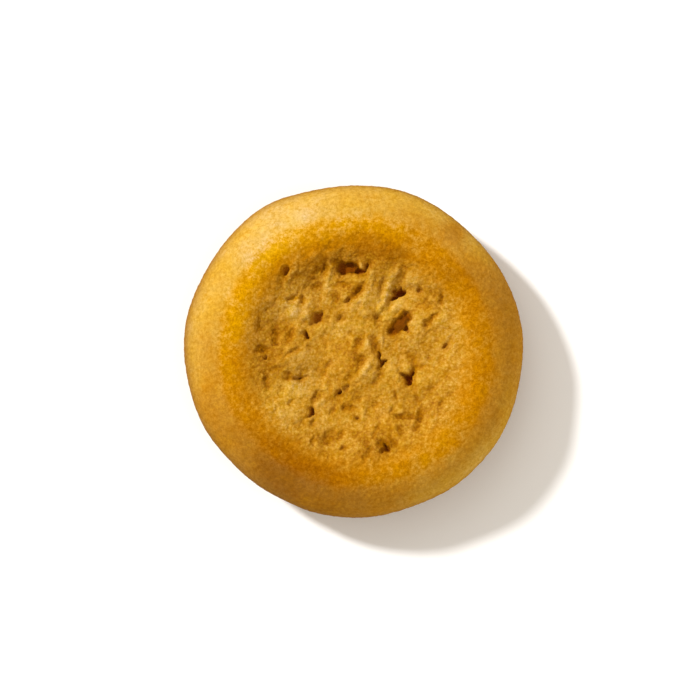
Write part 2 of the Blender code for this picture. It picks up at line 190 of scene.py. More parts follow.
DENTS = (
    # The left half, from the far side to the near side
    Mark(-10.6, 10.6, 1.8, 1.1, 85, 0.21),
    Mark(-7.5, 7.7, 0.9, 0.8, 80, 0.40),
    Mark(-9.3, 7.6, 1.5, 0.8, 30, 0.45),
    Mark(-4.2, 12.1, 2.0, 0.9, 70, 0.36),
    Mark(-5.4, 11.7, 1.6, 0.9, 25, 0.34),
    Mark(-5.4, 9.3, 1.1, 0.8, 30, 0.30),
    Mark(-3.6, 15.1, 1.2, 0.7, 55, 0.28),
    Mark(-2.8, 12.9, 1.6, 0.9, 10, 0.20),
    Mark(-2.7, 7.5, 2.0, 0.8, 85, 0.38),
    Mark(-1.6, 9.7, 1.4, 0.7, -10, 0.28),
    Mark(-2.0, 4.8, 1.4, 1.2, 15, 0.20),
    Mark(-9.1, 2.4, 1.6, 1.1, 50, 0.40),
    Mark(-11.6, 2.7, 1.4, 1.0, 80, 0.28),
    Mark(-11.7, 1.6, 1.2, 0.7, 60, 0.25),
    Mark(-13.9, 4.4, 2.7, 0.8, 88, 0.31),
    Mark(-12.6, 13.4, 1.7, 1.1, 30, 0.18),
    Mark(-13.6, 0.2, 1.7, 1.0, 10, 0.34),
    Mark(-12.8, -4.2, 2.4, 0.8, -85, 0.38),
    Mark(-11.7, -2.7, 2.2, 0.7, 10, 0.26),
    Mark(-14.6, -5.4, 2.3, 0.8, 80, 0.18),
    Mark(-9.6, -3.8, 1.2, 1.1, 0, 0.38),
    Mark(-7.5, -4.1, 1.4, 0.6, 5, 0.25),
    Mark(-9.0, -0.1, 1.7, 0.7, 30, 0.40),
    Mark(-2.2, -7.1, 1.1, 0.9, 90, 0.25),
    Mark(-5.0, -6.4, 1.2, 1.0, 10, 0.50),
    Mark(-5.8, -7.3, 1.4, 0.8, 70, 0.38),
    Mark(-9.4, -7.6, 0.7, 0.6, 10, 0.25),
    Mark(-6.0, -10.4, 1.2, 0.7, 80, 0.34),
    Mark(-7.5, -10.7, 1.2, 0.6, 85, 0.20),
    Mark(-3.2, -9.0, 1.4, 0.6, 60, 0.22),
    Mark(-1.3, -8.5, 1.0, 1.0, 30, 0.45),
    Mark(-0.3, -8.6, 1.5, 0.7, 5, 0.34),
    Mark(-4.1, -2.8, 2.0, 0.8, 65, 0.21),
    Mark(-3.9, -12.7, 1.8, 1.2, 60, 0.36),
    Mark(-6.0, -13.1, 1.2, 0.7, 60, 0.22),
    Mark(-3.1, -11.8, 1.0, 0.8, 0, 0.20),
    Mark(-1.8, -12.2, 1.4, 0.6, 50, 0.25),
    Mark(-1.4, -14.3, 1.2, 0.6, 20, 0.35),
    # The middle
    Mark(0.9, 6.8, 0.8, 0.8, 0, 0.28),
    Mark(0.4, 8.5, 2.6, 1.1, 42, 0.46),
    Mark(4.2, 9.6, 2.2, 0.8, 80, 0.30),
    Mark(5.1, 6.4, 1.4, 0.8, 70, 0.22),
    Mark(3.3, 4.8, 1.8, 1.1, -75, 0.20),
    Mark(7.3, 14.2, 1.9, 1.1, 85, 0.21),
    Mark(0.6, 1.2, 2.2, 0.9, 65, 0.48),
    Mark(0.95, -1.6, 1.6, 1.2, -80, 0.48),
    Mark(0.7, -2.8, 1.4, 0.7, 70, 0.30),
    Mark(3.2, 1.2, 2.6, 1.2, -72, 0.38),
    Mark(3.8, -2.9, 1.6, 0.7, 85, 0.34),
    Mark(3.6, -4.0, 1.8, 0.9, 70, 0.36),
    Mark(-0.6, -4.0, 1.6, 0.8, 50, 0.28),
    Mark(0.6, -7.1, 0.9, 0.8, -20, 0.21),
    Mark(3.3, -8.1, 0.8, 0.6, 60, 0.25),
    Mark(3.6, -11.4, 1.2, 0.7, 80, 0.20),
    Mark(3.0, -12.4, 1.2, 0.6, 60, 0.28),
    Mark(1.9, -13.2, 1.4, 1.2, 0, 0.20),
    Mark(2.2, -14.8, 1.6, 0.7, 65, 0.32),
    Mark(1.5, -15.9, 1.4, 0.7, 65, 0.30),
    # The right half
    Mark(7.1, 10.8, 2.3, 0.8, 82, 0.25),
    Mark(12.9, 7.6, 2.2, 0.5, 88, 0.44),
    Mark(11.6, 5.1, 1.5, 0.5, 42, 0.42),
    Mark(10.9, 4.1, 1.1, 0.8, 60, 0.40),
    Mark(14.0, 1.3, 1.5, 0.8, 50, 0.21),
    Mark(8.2, -0.6, 1.4, 1.0, -80, 0.32),
    Mark(9.0, -1.4, 2.0, 0.8, 88, 0.32),
    Mark(9.0, -2.6, 1.4, 1.0, 72, 0.52),
    Mark(10.1, -2.3, 1.6, 0.6, 20, 0.28),
    Mark(11.2, -1.1, 0.9, 0.7, -20, 0.25),
    Mark(12.8, -1.4, 1.0, 0.8, -30, 0.18),
    Mark(11.5, -5.6, 1.8, 0.7, 70, 0.22),
    Mark(6.2, -6.4, 1.0, 0.6, -70, 0.26),
    Mark(9.3, -7.2, 1.2, 0.6, -75, 0.34),
    Mark(12.9, -7.6, 0.9, 0.6, 30, 0.28),
    Mark(5.7, -8.8, 1.0, 0.5, 60, 0.25),
    Mark(11.7, -9.6, 0.9, 0.5, 90, 0.22),
    Mark(9.6, -9.7, 2.6, 0.7, 78, 0.45),
    Mark(9.2, -11.3, 1.0, 0.9, 50, 0.45),
    Mark(7.2, -9.7, 2.6, 0.7, -5, 0.34),
    Mark(7.0, -11.6, 1.6, 0.9, -40, 0.30),
    Mark(5.9, -13.5, 1.6, 0.9, -40, 0.34),
    Mark(4.5, -13.6, 2.0, 1.5, -65, 0.30),
    Mark(14.5, -6.4, 1.1, 0.8, 20, 0.25),
)
RIDGES = (
    # The left half, from the far side to the near side
    Mark(-3.9, 10.0, 5.0, 0.9, 82, 0.27),
    Mark(-9.3, 11.5, 3.2, 0.8, 68, 0.22),
    Mark(-8.8, 6.2, 2.6, 1.1, 62, 0.22),
    Mark(-6.9, 7.0, 1.8, 0.9, 80, 0.22),
    Mark(-7.1, 5.3, 2.2, 0.8, 55, 0.15),
    Mark(-8.7, 2.5, 2.2, 0.6, 72, 0.20),
    Mark(-4.4, 3.5, 2.6, 1.8, 20, 0.20),
    Mark(-9.2, 7.0, 2.2, 0.7, 10, 0.25),
    Mark(-6.4, 1.7, 1.2, 0.8, 40, 0.20),
    Mark(-6.0, 14.0, 2.0, 0.8, 40, 0.15),
    Mark(-8.2, -1.0, 3.0, 2.4, 30, 0.20),
    Mark(-8.6, -5.6, 4.0, 2.6, 0, 0.20),
    Mark(-4.5, -6.1, 3.6, 0.8, 80, 0.22),
    Mark(-6.4, -4.8, 1.5, 0.7, 80, 0.15),
    Mark(-12.0, -8.5, 2.6, 0.8, 45, 0.15),
    Mark(-3.0, -0.9, 2.4, 1.0, 20, 0.15),
    Mark(-5.1, -7.6, 1.2, 1.0, 40, 0.20),
    Mark(-6.1, -9.9, 0.8, 0.7, 0, 0.25),
    Mark(-1.6, -13.2, 1.6, 0.8, 35, 0.20),
    # The middle
    Mark(-0.5, 14.2, 1.6, 1.1, 60, 0.22),
    Mark(-0.7, 10.8, 2.8, 0.8, 0, 0.27),
    Mark(1.0, 12.7, 0.9, 0.6, 90, 0.32),
    Mark(2.6, 11.0, 3.0, 0.8, 78, 0.22),
    Mark(2.5, 11.6, 0.8, 0.6, 80, 0.25),
    Mark(1.5, 7.8, 2.6, 1.4, 45, 0.27),
    Mark(3.7, 6.1, 1.2, 0.6, 75, 0.20),
    Mark(-0.6, -6.5, 1.4, 0.9, 75, 0.15),
    Mark(1.6, 0.9, 2.0, 1.0, 60, 0.22),
    Mark(1.9, -2.3, 3.2, 0.9, 55, 0.27),
    Mark(1.4, -9.0, 2.6, 0.7, 85, 0.20),
    # The right half
    Mark(5.4, 10.3, 3.4, 0.9, 65, 0.25),
    Mark(4.6, 7.6, 2.2, 0.7, 82, 0.22),
    Mark(8.4, 10.4, 1.8, 1.0, -60, 0.20),
    Mark(8.5, 7.9, 1.9, 1.0, -15, 0.22),
    Mark(6.4, 6.8, 2.3, 1.1, 52, 0.24),
    Mark(4.9, 5.0, 1.6, 1.0, -30, 0.22),
    Mark(8.9, 4.2, 2.1, 0.8, 25, 0.22),
    Mark(11.8, 9.7, 0.9, 0.8, 0, 0.20),
    Mark(13.6, 6.2, 2.0, 0.8, 25, 0.22),
    Mark(12.6, 4.7, 2.2, 1.4, 45, 0.20),
    Mark(4.2, 1.6, 2.6, 0.6, 85, 0.20),
    Mark(5.6, -2.6, 2.2, 1.2, 85, 0.22),
    Mark(6.5, 0.9, 1.8, 0.5, 80, 0.15),
    Mark(7.7, -2.6, 1.1, 1.0, 0, 0.27),
    Mark(9.7, -4.6, 3.4, 1.1, 85, 0.20),
    Mark(6.6, -4.7, 2.6, 0.8, 85, 0.15),
    Mark(11.4, -10.9, 3.6, 0.9, 78, 0.22),
    Mark(6.7, -8.4, 1.8, 0.7, 65, 0.15),
    Mark(13.6, -8.6, 0.9, 0.9, 0, 0.15),
)

# Parts of the crust and crumb that are browner, below 0, or paler. Some baked so; others are
# painted shade, under the far rim and on the floors of the long hollow and the cave, and painted
# highlight, on the lit upper left of the flank
BROWNING_SHADE_AND_LIGHT_PATCHES = (
    # These three rows: painted shade of the far rim's inner wall, which stands in shadow
    Mark(-8.5, 12.5, 10, 5, 35, -0.08),
    Mark(3.0, 15.3, 9, 4, -10, -0.20),
    Mark(0.5, 13.2, 8, 4, 0, -0.08),
    Mark(11.5, 9.5, 5, 5, 0, -0.08),
    Mark(-9.0, 6.0, 6, 5, 0, 0.14),
    Mark(-6.0, 9.0, 4, 3, 60, -0.10),
    Mark(3.5, 7.0, 10, 7, 20, 0.12),
    Mark(5.5, 7.0, 3, 4, 50, 0.10),
    # Painted shade on the floors of the long hollow and the cave, in place of the depth that would
    # shadow them
    Mark(6.9, 4.0, 2.8, 1.3, 45, -1.30),
    Mark(-0.4, 12.2, 1.8, 1.0, 0, -1.30),
    Mark(0.0, 9.5, 4, 3, 0, -0.16),
    Mark(-11.5, 3.0, 4, 6, 0, -0.15),
    Mark(-0.5, 2.5, 6, 5, 0, 0.08),
    Mark(-1.0, -0.5, 6, 3, 0, -0.08),
    Mark(3.0, -3.5, 4, 5, 0, 0.08),
    Mark(9.5, 3.0, 5, 4, 0, 0.08),
    Mark(-9.5, -8.0, 10, 7, -20, 0.13),
    Mark(-6.5, -12.5, 5, 3, 0, -0.08),
    Mark(12.0, -2.0, 7, 6, 0, 0.05),
    Mark(-2.0, -13.0, 7, 6, 0, 0.06),
    Mark(2.0, -14.0, 6, 5, 0, -0.14),
    Mark(9.0, -10.5, 5, 6, 0, -0.04),
    Mark(-15.0, -3.0, 6, 8, 0, -0.14),
    # Painted highlight on the upper left of the flank, where the key light falls
    Mark(-11.5, 16.8, 11, 4, 38, 0.16),
    Mark(-3.0, 19.8, 10, 3, 8, 0.05),
    Mark(-1.0, 23.8, 18, 3, 2, -0.09),
    Mark(-19.5, 13.5, 14, 2.5, 58, -0.08),
    Mark(-21.5, -9.5, 8, 3, 112, -0.08),
    Mark(22.0, 1.0, 14, 7, 90, 0.07),
    Mark(17.0, 5.0, 5, 8, 0, 0.10),
    Mark(18.5, -9.0, 5, 7, -30, -0.06),
    Mark(17.0, 16.0, 10, 5, -45, 0.14),
    Mark(3.5, -18.0, 8, 3, 0, 0.10),
    Mark(-22.0, 0.0, 14, 5, 90, -0.09),
    Mark(14.0, -14.0, 9, 5, 45, -0.06),
    Mark(15.0, 17.8, 3, 3, -50, -0.24),
    Mark(-11.5, -19.6, 7, 4, -35, -0.12),
)

# How a mark falls off: where its side starts and how wide the side is, in half sizes of the mark
PIT_SIDE = (1.40, 0.85)
DENT_SIDE = (2.00, 1.80)

# How far out a patch is felt, in half sizes of the patch
PATCH_REACH = 2.0

# A shallow funnel round each pit, with its depth as a share of the pit's
FUNNEL_SIDE = (3.20, 2.40)
FUNNEL_DEPTH = 0.15

# How a pit runs down into the dough, for each millimetre of its depth
PIT_RUN = Vector((0.21, -0.15, -1.0))

# How much paler or browner the crust is in one direction than in another, as waves like the
# outline's:
# partly uneven baking, browner on the lower left, and partly painted light, paler on the upper left
# where the key light falls, standing in for its sheen
BROWNING_AND_LIGHT_WAVES = ((1, 0.13, 112), (2, 0.13, 137), (3, 0.09, 70))

# How much further out the crumb's colour reaches on one side, as waves like the outline's
CRUMB_WAVES = ((1, 0.03, 270),)

# How the top's colours take over on the way up: the height where they start, a little below the
# waist, and how much higher up they are full
TOP_RISE = (0.8 * WAIST_HEIGHT, WAIST_HEIGHT)

# Where the colours change on the way out, as the start and the width of each change in shares of
# the radius: the crumb's end, the flank's start, the start of the browning and painted light, and
# the paler edge
CRUMB_END = (0.56, 0.15)
FLANK_START = (0.77, 0.08)
BROWNING_AND_LIGHT_START = (0.60, 0.14)
EDGE_START = (0.86, 0.12)
EDGE_PALE = 0.10

# The browner base: its line is higher on the left, where the key light falls, painted shade that
# darkens the lit edge
BASE_LINE = 5.84
BASE_SHADE_TILT = 1.15
BASE_SHADE_SIDE = radians(175)
BASE_BLEND = 4.0


def ease(share):
    """Goes from 0 to 1 with no slope at either end."""
    share = min(max(share, 0.0), 1.0)
    return share * share * (3 - 2 * share)


def waves(angle, table):
    """The sum of waves round the cookie, in one direction."""
    return sum(share * cos(count * (angle - radians(peak))) for count, share, peak in table)


def outline(angle):
    """The outline's share of the mean radius in one direction."""
    return 1 + waves(angle, OUTLINE_WAVES)


def crumb_edge(angle):
    """The distance from the dish's middle at which the crumb meets the smooth rim."""
    around = Vector((cos(angle), sin(angle), 0)) * (CRUMB_RADIUS / CRUMB_RAGGED_SIZE)
    ragged = CRUMB_RAGGED * noise.noise(around)
    return CRUMB_RADIUS * (1 - CRUMB_STRETCH * cos(2 * angle)) + ragged


def dish_height(radius):
    """The height of the dish: a level floor that climbs to the crest of the rim."""
    climb = (radius - DISH_FLOOR_RADIUS) / (CREST_RADIUS - DISH_FLOOR_RADIUS)
    return HEIGHT - DISH_DEPTH * (1 - ease(climb))


def rounded(turn, power):
    """A point of a rounded corner of size 1 by 1, from (0, 1) at turn 0 to (1, 0) at turn 1."""
    angle = turn * pi / 2
    return sin(angle) ** (2 / power), cos(angle) ** (2 / power)


def shoulder(turn):
    """Radius and height from the crest, at turn 0, out to the waist, at turn 1."""
    out, up = rounded(turn, SHOULDER_POWER)
    radius = CREST_RADIUS + (RADIUS - CREST_RADIUS) * out
    return radius, WAIST_HEIGHT + (HEIGHT - WAIST_HEIGHT) * up


def heel(turn):
    """Radius and height from the waist, at turn 0, under to the foot, at turn 1."""
    down, out = rounded(turn, HEEL_POWER)
    return FOOT_RADIUS + (RADIUS - FOOT_RADIUS) * out, WAIST_HEIGHT * (1 - down)


def place(radius, height, angle):
    """The point at a radius and height of the section, in one direction from the middle."""
    spread = radius * outline(angle)
    fade = min(1.0, (RADIUS - radius) / (RADIUS - CREST_RADIUS))
    shift = DISH_SHIFT * (fade * ease(height / WAIST_HEIGHT - 1))
    return Vector((spread * cos(angle), spread * sin(angle), height)) + shift


def lumps(point, size):
    """Rounded lumps with soft creases between them: about 1 on a lump's top, 0 in a crease."""
    distances, _ = noise.voronoi(point / size)
    felt = sum(exp(-SOFTNESS * distance ** 2) for distance in distances)
    return 1 + log(felt) / SOFTNESS


def reach_of(point, mark):
    """How far a place lies from the middle of a mark, in half sizes of the mark."""
    away_x = point.x - mark.x
    away_y = point.y - mark.y
    turn = radians(mark.turn)
    along = away_x * cos(turn) + away_y * sin(turn)
    across = away_y * cos(turn) - away_x * sin(turn)
    return hypot(along / mark.length, across / mark.width) * 2


def marked(point, marks, side):
    """How strongly the marks of one table are felt at a place on the top."""
    start, width = side
    strongest = 0.0
    for mark in marks:
        if max(abs(point.x - mark.x), abs(point.y - mark.y)) > start * mark.length / 2:
            continue
        share = ease((start - reach_of(point, mark)) / width)
        strongest = max(strongest, mark.size * share)
    return strongest


def patched(point):
    """How much paler or browner the patches make a place, by baking and by painted shade and
    highlight.
    """
    pale = 0.0
    for patch in BROWNING_SHADE_AND_LIGHT_PATCHES:
        pale += patch.size * (1 - ease(reach_of(point, patch) / PATCH_REACH))
    return pale


def grained(point):
    """The place moved so that lumps come out uneven, and longer along the crumb's grain."""
    warped = point + noise.noise_vector(point / WARP_SIZE) * WARP_REACH
    along = warped.x * cos(GRAIN_TURN) + warped.y * sin(GRAIN_TURN)
    across = warped.y * cos(GRAIN_TURN) - warped.x * sin(GRAIN_TURN)
    return Vector((along / GRAIN_STRETCH, across, warped.z))


def ragged(point):
    """The place on the top moved a little, so that marks come out uneven."""
    flat = Vector((point.x, point.y, 0))
    return flat + noise.noise_vector(flat / MARK_RAGGED_SIZE) * MARK_RAGGED


def settled(marks):
    """The marks moved as raggedness moves their middles, so that they stay in their places."""
    middles = [ragged(Vector((mark.x, mark.y, 0))) for mark in marks]
    return [mark._replace(x=middle.x, y=middle.y) for mark, middle in zip(marks, middles)]


noise.seed_set(NOISE_SEED)
PITS = settled(PITS)
DENTS = settled(DENTS)
RIDGES = settled(RIDGES)


def crumb_relief(point):
    """Rolls, lumps, knobs, nubs, ridges and dents of the rough dough, above the smooth dish."""
    loose = grained(point)
    rolls = ROLL_HEIGHT * noise.noise(loose / ROLL_SIZE)
    bumps = LUMP_HEIGHT * (lumps(loose, LUMP_SIZE) - MIDDLE_LEVEL)
    bumps += KNOB_HEIGHT * (lumps(loose, KNOB_SIZE) - MIDDLE_LEVEL)
    bumps += NUB_HEIGHT * (lumps(point, NUB_SIZE) - MIDDLE_LEVEL)
    moved = ragged(point)
    bumps += marked(moved, RIDGES, DENT_SIDE) - marked(moved, DENTS, DENT_SIDE)
    bumps -= FUNNEL_DEPTH * marked(moved, PITS, FUNNEL_SIDE)
    return rolls, bumps, marked(moved, PITS, PIT_SIDE)


def inside_crumb(point):
    """How far a place lies inside the crumb's edge, and 0 or less outside it."""
    if point.z < WAIST_HEIGHT:
        return 0.0
    from_dish = point - DISH_SHIFT
    edge = crumb_edge(atan2(from_dish.y, from_dish.x))
    return edge - hypot(from_dish.x, from_dish.y)


class Surface:
    """Points and faces of one closed skin."""

    def __init__(self):
        self.points = []
        self.faces = []

    def add(self, point):
        self.points.append(point)
        return len(self.points) - 1


def ring_angles(count):
    """Evenly spaced directions, all the way round."""
    return [tau * step / count for step in range(count)]


def add_disc(skin, rings, at):
    """Rings of 6, 12, 18 and so on points round a middle, filled with triangles."""
    inner = [skin.add(at(0, 0))]
    for ring in range(1, rings + 1):
        outer = [skin.add(at(ring / rings, angle)) for angle in ring_angles(6 * ring)]
        join_growing_rings(skin, inner, outer, ring)
        inner = outer
    return inner


def join_growing_rings(skin, inner, outer, ring):
    """Fills between two rings of triangles whose outer one has six points more."""
    for sector in range(6):
        for step in range(ring):
            here = outer[sector * ring + step]
            after = outer[(sector * ring + step + 1) % len(outer)]
            near = inner[(sector * (ring - 1) + step) % len(inner)]
            skin.faces.append((near, here, after))
            if step < ring - 1:
                beyond = inner[(sector * (ring - 1) + step + 1) % len(inner)]
                skin.faces.append((near, after, beyond))


def add_bands(skin, start, section):
    """Bands of quads from one ring of points on through each radius and height of a section."""
    inner = start
    angles = ring_angles(len(start))
    for radius, height in section:
        outer = [skin.add(place(radius, height, angle)) for angle in angles]
        for step, here in enumerate(inner):
            after = (step + 1) % len(inner)
            skin.faces.append((here, outer[step], outer[after], inner[after]))
        inner = outer
    return inner


def side_section():
    """Radii and heights from the crest over the waist to the foot."""
    section = [shoulder((band + 1) / SHOULDER_BANDS) for band in range(SHOULDER_BANDS)]
    return section + [heel((band + 1) / HEEL_BANDS) for band in range(HEEL_BANDS)]


def top_point(share, angle):
    """The point of the dish at a share of the way out to the crest."""
    radius = CREST_RADIUS * share
    return place(radius, dish_height(radius), angle)


def underside_point(share, angle):
    """The point of the underside at a share of the way out, with its turns seen from below."""
    return place(UNDERSIDE_RADIUS * share, 0, -angle)


def add_underside(skin, foot):
    """The flat underside: a disc with half as many points round it as the foot has."""
    rim = add_disc(skin, UNDERSIDE_RINGS, underside_point)
    for step in range(len(rim)):
        here = rim[-step % len(rim)]
        after = rim[(-step - 1) % len(rim)]
        skin.faces.append((foot[2 * step], here, foot[2 * step + 1]))
        skin.faces.append((foot[2 * step + 1], here, after))
        skin.faces.append((foot[2 * step + 1], after, foot[(2 * step + 2) % len(foot)]))


def make_skin():
    """The smooth section as one closed skin, before any relief."""
    skin = Surface()
    crest = add_disc(skin, TOP_RINGS, top_point)
    foot = add_bands(skin, crest, side_section())
    add_underside(skin, foot)
    return skin


def normals_of(skin):
    """The direction in which the skin faces at each of its points."""
    mesh = bpy.data.meshes.new("smooth")
    mesh.from_pydata(skin.points, [], skin.faces)
    normals = [vert.normal.copy() for vert in mesh.vertices]
    bpy.data.meshes.remove(mesh)
    return normals


def sand(point):
    """The sandy grain of the crust: a coarse one with a finer one on it."""
    fine = FINE_SAND_SHARE * noise.noise(point / FINE_SAND_SIZE)
    return noise.noise(point / SAND_SIZE) + fine


def rise(value, start, width):
    """Goes from 0 at the start to 1 at the start plus the width."""
    return ease((value - start) / width)


def colour_masks(point):
    """How strongly each colour of the crust is felt at a place of the smooth section."""
    from_dish = point - DISH_SHIFT
    angle = atan2(from_dish.y, from_dish.x)
    reach = hypot(from_dish.x, from_dish.y) / outline(angle) / RADIUS
    top = rise(point.z, *TOP_RISE)
    # Paler or browner by direction: partly baking, partly painted light on the lit upper left
    pale = waves(angle, BROWNING_AND_LIGHT_WAVES) * rise(reach, *BROWNING_AND_LIGHT_START)
    pale += EDGE_PALE * rise(reach, *EDGE_START)
    # The base line rises on the lit left side: painted shade there
    line = BASE_LINE + BASE_SHADE_TILT * cos(angle - BASE_SHADE_SIDE)
    return {
        "crumb": top * (1 - rise(reach - waves(angle, CRUMB_WAVES), *CRUMB_END)),
        "flank": 1 - top * (1 - rise(reach, *FLANK_START)),
        # Patches: baked browning, and also painted shade and highlight
        "pale": pale + patched(point),
        "base": 1 - rise(point.z, line, BASE_BLEND),
    }


def make_cookie():
    """The cookie: the smooth skin raised by its relief, with the masks that its material reads."""
    skin = make_skin()
    masks = {"crumb": [], "relief": [], "pit": [], "flank": [], "pale": [], "base": []}
    points = []
    for point, normal in zip(skin.points, normals_of(skin)):
        inside = inside_crumb(point)
        crumb = ease(inside / BUMP_FADE)
        foot = ease(point.z / FLAT_FOOT)
        stand = SWELL_HEIGHT * noise.noise(point / SWELL_SIZE) * foot
        stand += SAND_HEIGHT * sand(point) * foot
        rolls, bumps, pit = crumb_relief(point) if inside > 0 else (0.0, 0.0, 0.0)
        pit *= ease(inside / PIT_FADE)
        stand += rolls * ease(inside / ROLL_FADE) + bumps * crumb
        points.append((point + normal * stand + PIT_RUN * pit) * MM)
        for name, value in colour_masks(point).items():
            masks[name].append(value)
        masks["relief"].append(crumb * bumps)
        masks["pit"].append(pit)
    mesh = bpy.data.meshes.new("cookie_crust")
    mesh.from_pydata(points, [], skin.faces)
    for name, values in masks.items():
        attribute = mesh.attributes.new(name, "FLOAT", "POINT")
        attribute.data.foreach_set("value", values)
    mesh.shade_smooth()
    cookie = bpy.data.objects.new("cookie_crust", mesh)
    bpy.context.scene.collection.objects.link(cookie)
    centre_on(cookie, (cad_low + cad_high) / 2)
    return cookie


def centre_on(cookie, middle):
    """Moves the mesh sideways so that its box is centred where the solid's is."""
    for axis in range(2):
        places = [vert.co[axis] for vert in cookie.data.vertices]
        move = middle[axis] - (min(places) + max(places)) / 2
        for vert in cookie.data.vertices:
            vert.co[axis] += move


class Nodes:
    """Short ways of adding nodes to a material."""

    def __init__(self, material):
        material.use_nodes = True
        self.tree = material.node_tree
        self.shader = self.tree.nodes["Principled BSDF"]
        self.place = self.tree.nodes.new("ShaderNodeTexCoord").outputs["Object"]

    def link(self, source, target):
        self.tree.links.new(source, target)

    def mask(self, name):
        """One of the masks that the mesh carries."""
        node = self.tree.nodes.new("ShaderNodeAttribute")
        node.attribute_name = name
        return node.outputs["Fac"]

    def noise(self, spots):
        """Uneven spots, most of them between 0.3 and 0.7."""
        node = self.tree.nodes.new("ShaderNodeTexNoise")
        node.inputs["Scale"].default_value = 1 / (spots.size * MM)
        node.inputs["Detail"].default_value = spots.detail
        node.inputs["Roughness"].default_value = spots.rough
        self.link(self.place, node.inputs["Vector"])
        return node.outputs["Fac"]

    def swing(self, spots, reach):
        """A noise that goes from minus to plus its reach."""
        return self.ramp(self.noise(spots), *SPOTS_RANGE, -reach, reach)

    def cells(self, size):
        """The distance from the middle of the nearest crumb, 0 to about 1."""
        node = self.tree.nodes.new("ShaderNodeTexVoronoi")
        node.inputs["Scale"].default_value = 1 / (size * MM)
        self.link(self.place, node.inputs["Vector"])
        return node.outputs["Distance"]

    def ramp(self, value, low, high, to_low=0.0, to_high=1.0):
        """The value moved from one range to another, and held at the ends of that."""
        node = self.tree.nodes.new("ShaderNodeMapRange")
        node.inputs["From Min"].default_value = low
        node.inputs["From Max"].default_value = high
        node.inputs["To Min"].default_value = to_low
        node.inputs["To Max"].default_value = to_high
        self.link(value, node.inputs["Value"])
        return node.outputs["Result"]

    def tones(self, value, table):
        """The colour of a table at a value, mixed from the two nearest."""
        node = self.tree.nodes.new("ShaderNodeValToRGB")
        stops = node.color_ramp.elements
        while len(stops) < len(table):
            stops.new(1.0)
        for stop, (position, colour) in zip(stops, table):
            stop.position = position
            stop.color = (*colour, 1)
        self.link(value, node.inputs["Fac"])
        return node.outputs["Color"]

    def math(self, operation, first, second):
        """Two values added or multiplied, either of them a number or a node's."""
        node = self.tree.nodes.new("ShaderNodeMath")
        node.operation = operation
        for socket, value in zip(node.inputs, (first, second)):
            if isinstance(value, (int, float)):
                socket.default_value = value
            else:
                self.link(value, socket)
        return node.outputs["Value"]

    def mix(self, share, first, second, blend="MIX"):
        """The first colour with a share of the second mixed in, multiplied in or added."""
        node = self.tree.nodes.new("ShaderNodeMix")
        node.data_type = "RGBA"
        node.blend_type = blend
        sockets = [socket for socket in node.inputs if socket.type == "RGBA"]
        for socket, value in zip(sockets, (first, second)):
            if isinstance(value, tuple):
                socket.default_value = (*value, 1)
            else:
                self.link(value, socket)
        if isinstance(share, (int, float)):
            node.inputs["Factor"].default_value = share
        else:
            self.link(share, node.inputs["Factor"])
        return next(socket for socket in node.outputs if socket.type == "RGBA")


# Colours from the most baked to the palest, each at its place on a scale from 0 to 1
CRUMB_TONES = (
    (0.00, (0.090, 0.027, 0.001)),
    (0.30, (0.265, 0.097, 0.000)),
    (0.55, (0.405, 0.191, 0.006)),
    (0.80, (0.520, 0.293, 0.030)),
    (1.00, (0.600, 0.370, 0.072)),
)
CREST_TONES = (
    (0.00, (0.270, 0.088, 0.000)),
    (0.50, (0.420, 0.168, 0.000)),
    (0.80, (0.520, 0.240, 0.000)),
    (1.00, (0.580, 0.300, 0.003)),
)
FLANK_TONES = (
    (0.00, (0.250, 0.100, 0.008)),
    (0.50, (0.420, 0.189, 0.013)),
    (0.80, (0.510, 0.288, 0.034)),
    # Reached on the upper left of the flank, where the paler waves paint the key light's sheen
    (1.00, (0.570, 0.372, 0.108)),
)
# Deep in a pit: darker dough with painted shade
PIT_DOUGH_AND_SHADE_COLOUR = (0.25, 0.062, 0.001)
BASE_COLOUR = (0.26, 0.121, 0.015)

# Where on those scales dough without patches lies, and how far a patch moves it there
MIDDLE_TONE = 0.5
PATCH_TONE = 1.6

# The relief, in millimetres, between the darkest creases and the palest lumps of the crumb, and
# where these two lie on its scale. Low places turn browner and high ones paler: partly the dough's
# own tone, partly painted shade in the creases and painted light on the lumps
RELIEF_RANGE = (-0.4, 0.4)
RELIEF_SHADE_TONES = (0.33, 0.93)

# The depths between which a pit takes on its darker colour: darker dough and painted shade, the
# deeper the darker
PIT_RANGE = (0.3, 1.4)

# What the grain of the crust does to the colour, in its dark and its pale specks
DARK_SPECK = (0.84, 0.80, 0.30)
PALE_SPECK = (1.16, 1.20, 2.00)
DARK_CREST_SPECK = (0.78, 0.73, 0.15)
PALE_CREST_SPECK = (1.22, 1.27, 2.60)
DARK_RIM_SPECK = (0.86, 0.83, 0.66)
PALE_RIM_SPECK = (1.14, 1.17, 1.42)

# What pale specks add where the crumb is pale, and where on its scale that begins and is full
MILKY_SPECK = (0.0, 0.0, 0.012)
MILKY_TONES = (0.2, 0.6)
NOTHING = (0.0, 0.0, 0.0)

# How the gold of the dough changes from place to place
DEEP_GOLD = (1.00, 0.97, 0.70)
PALE_GOLD = (1.00, 1.03, 1.35)

# Noises: the size of their spots, how many finer ones lie on them and how strong those are
Spots = namedtuple("Spots", "size detail rough")
BLOTCHES = Spots(3.2, 4, 0.65)
FRAYS = Spots(2.2, 6, 0.85)
GRIT = Spots(0.8, 3, 0.8)
SPECKS = Spots(0.55, 3, 0.85)
GOLD_SPOTS = Spots(4.0, 3, 0.6)
GRAIN = Spots(0.5, 4, 0.75)

